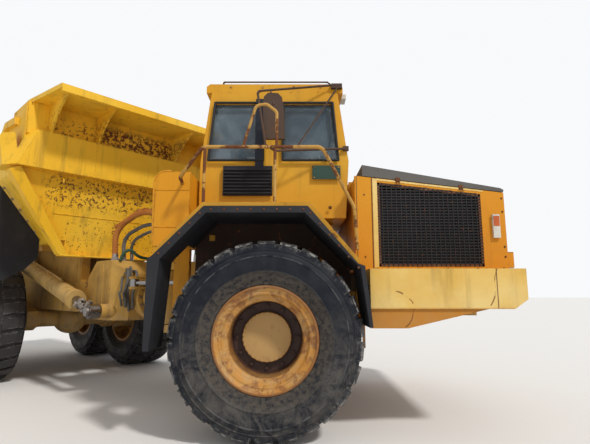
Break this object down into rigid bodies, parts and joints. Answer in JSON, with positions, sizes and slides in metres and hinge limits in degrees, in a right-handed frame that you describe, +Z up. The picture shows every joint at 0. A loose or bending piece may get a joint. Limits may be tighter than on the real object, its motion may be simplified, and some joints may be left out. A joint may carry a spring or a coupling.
{
  "type": "articulated dump truck",
  "caption": "Six-wheel articulated hauler: tractor with one axle and cab, steering hitch, rear unit with a bogie and a tipping body.",
  "frame": {"origin": "middle of the whole machine's box, on the ground, as it stands parked with its units turned to each other", "axes": "+X forward along the tractor, +Y to the tractor's left, +Z up"},
  "size_m": [9.727, 7.4128, 3.78],
  "materials": {
    "frame_paint": "matt, dusty",
    "engine": "oily",
    "hood_paint": "faded gloss",
    "black_paint": "matt",
    "bumper_paint": "faded, chalky",
    "lamp_glass": "clear",
    "rubber": "matt",
    "rail_paint": "chipped, rusty",
    "cab_paint": "faded gloss",
    "window_glass": "tinted",
    "trim": "grained",
    "lid_paint": "matt anti-glare",
    "tyre": "worn, dusty",
    "rim_paint": "rust-streaked",
    "cylinder_paint": "matt",
    "rod_chrome": "polished",
    "body_paint": "worn, rust spots"
  },
  "bodies": {
    "tractor": {"front_frame": "frame_paint", "front_axle": "frame_paint", "engine_block": "engine", "hood_panels": "hood_paint", "grilles": "black_paint", "bumper": "bumper_paint", "lamps": "lamp_glass", "fenders": "hood_paint", "mudguards": "rubber", "handrails": "rail_paint", "cab_steps": "rail_paint", "cab_shell": "cab_paint", "cab_roof": "cab_paint", "cab_glass": "window_glass", "seat": "trim", "dash": "trim", "mirrors": "black_paint", "tanks": "hood_paint"},
    "hood": {"hood_lid": "lid_paint"},
    "door": {"cab_door": "cab_paint", "door_glass": "window_glass"},
    "front_wheel_right": {"front_tyre_right": "tyre", "front_rim_right": "rim_paint"},
    "front_wheel_left": {"front_tyre_left": "tyre", "front_rim_left": "rim_paint"},
    "mid_wheel_right": {"mid_tyre_right": "tyre", "mid_rim_right": "rim_paint"},
    "mid_wheel_left": {"mid_tyre_left": "tyre", "mid_rim_left": "rim_paint"},
    "rear_wheel_right": {"rear_tyre_right": "tyre", "rear_rim_right": "rim_paint"},
    "rear_wheel_left": {"rear_tyre_left": "tyre", "rear_rim_left": "rim_paint"},
    "hitch": {"hitch_block": "frame_paint"},
    "steer_barrel_right": {"steer_barrel_right": "cylinder_paint"},
    "steer_rod_right": {"steer_rod_right": "rod_chrome"},
    "steer_barrel_left": {"steer_barrel_left": "cylinder_paint"},
    "steer_rod_left": {"steer_rod_left": "rod_chrome"},
    "rear": {"rear_frame": "frame_paint", "tail_lamps": "lamp_glass", "bogie_axles": "frame_paint", "bogie_beams": "frame_paint"},
    "body": {"body_tub": "body_paint", "body_sills": "body_paint", "spill_guard": "body_paint", "body_flaps": "rubber"},
    "hoist_barrels": {"hoist_barrels": "cylinder_paint"},
    "hoist_rods": {"hoist_rods": "rod_chrome"}
  },
  "joints": [
    {"name": "hood_hinge", "type": "hinge", "parent": "tractor", "child": "hood", "pos_m": [3.30354, -2.05636, 2.55], "axis": [0, -1, 0], "range_deg": [0, 60]},
    {"name": "door_hinge", "type": "hinge", "parent": "tractor", "child": "door", "pos_m": [2.35354, -1.10837, 2.7], "axis": [0, 0, 1], "range_deg": [0, 85]},
    {"name": "front_wheel_right_spin", "type": "hinge", "parent": "tractor", "child": "front_wheel_right", "pos_m": [2.39354, -3.32137, 0.89], "axis": [0, 1, 0], "continuous": true},
    {"name": "front_wheel_left_spin", "type": "hinge", "parent": "tractor", "child": "front_wheel_left", "pos_m": [2.39354, -0.79136, 0.89], "axis": [0, 1, 0], "continuous": true},
    {"name": "mid_wheel_right_spin", "type": "hinge", "parent": "rear", "child": "mid_wheel_right", "pos_m": [-2.09843, -0.77123, 0.89], "axis": [0.6884, 0.7254, 0], "continuous": true},
    {"name": "mid_wheel_left_spin", "type": "hinge", "parent": "rear", "child": "mid_wheel_left", "pos_m": [-0.35689, 1.06397, 0.89], "axis": [0.6884, 0.7254, 0], "continuous": true},
    {"name": "rear_wheel_right_spin", "type": "hinge", "parent": "rear", "child": "rear_wheel_right", "pos_m": [-3.41861, 0.48158, 0.89], "axis": [0.6884, 0.7254, 0], "continuous": true},
    {"name": "rear_wheel_left_spin", "type": "hinge", "parent": "rear", "child": "rear_wheel_left", "pos_m": [-1.67707, 2.31677, 0.89], "axis": [0.6884, 0.7254, 0], "continuous": true},
    {"name": "steering", "type": "hinge", "parent": "tractor", "child": "hitch", "pos_m": [1.09354, -2.05636, 1.25], "axis": [0, 0, 1], "range_deg": [-1.5, 88.5]},
    {"name": "frame_roll", "type": "hinge", "parent": "hitch", "child": "rear", "pos_m": [1.09354, -2.05636, 1.25], "axis": [0.7254, -0.6884, 0], "range_deg": [-15, 15]},
    {"name": "body_tip", "type": "hinge", "parent": "rear", "child": "body", "pos_m": [-3.07736, 1.90167, 1.5], "axis": [-0.6884, -0.7254, 0], "range_deg": [0, 70]},
    {"name": "hoist_swing", "type": "hinge", "parent": "rear", "child": "hoist_rods", "pos_m": [0.64381, -1.62959, 1.075], "axis": [0.6884, 0.7254, 0], "range_deg": [0, 11.68]},
    {"name": "hoist_slide", "type": "slide", "parent": "hoist_rods", "child": "hoist_barrels", "axis": [-0.705, 0.669, 0.2356], "range_m": [0, 1.984]},
    {"name": "steer_swing_right", "type": "hinge", "parent": "tractor", "child": "steer_barrel_right", "pos_m": [2.24354, -2.63637, 1.42], "axis": [0, 0, 1], "range_deg": [-0.07, 3.27]},
    {"name": "steer_slide_right", "type": "slide", "parent": "steer_barrel_right", "child": "steer_rod_right", "axis": [-0.9687, 0.2482, 0], "range_m": [-0.59201, 0.01013]},
    {"name": "steer_swing_left", "type": "hinge", "parent": "tractor", "child": "steer_barrel_left", "pos_m": [2.24354, -1.47636, 1.42], "axis": [0, 0, 1], "range_deg": [-0.08, 3.95]},
    {"name": "steer_slide_left", "type": "slide", "parent": "steer_barrel_left", "child": "steer_rod_left", "axis": [-0.9825, -0.1864, 0], "range_m": [-0.0101, 0.58995]}
  ],
  "couplings": [
    {"joint": "hoist_swing", "follows": "body_tip", "ratio": 0.16676},
    {"joint": "hoist_slide", "follows": "body_tip", "m_per_rad": 1.6238},
    {"joint": "steer_swing_right", "follows": "steering", "ratio": 0.036874},
    {"joint": "steer_slide_right", "follows": "steering", "m_per_rad": -0.38321},
    {"joint": "steer_swing_left", "follows": "steering", "ratio": 0.044511},
    {"joint": "steer_slide_left", "follows": "steering", "m_per_rad": 0.38187}
  ]
}
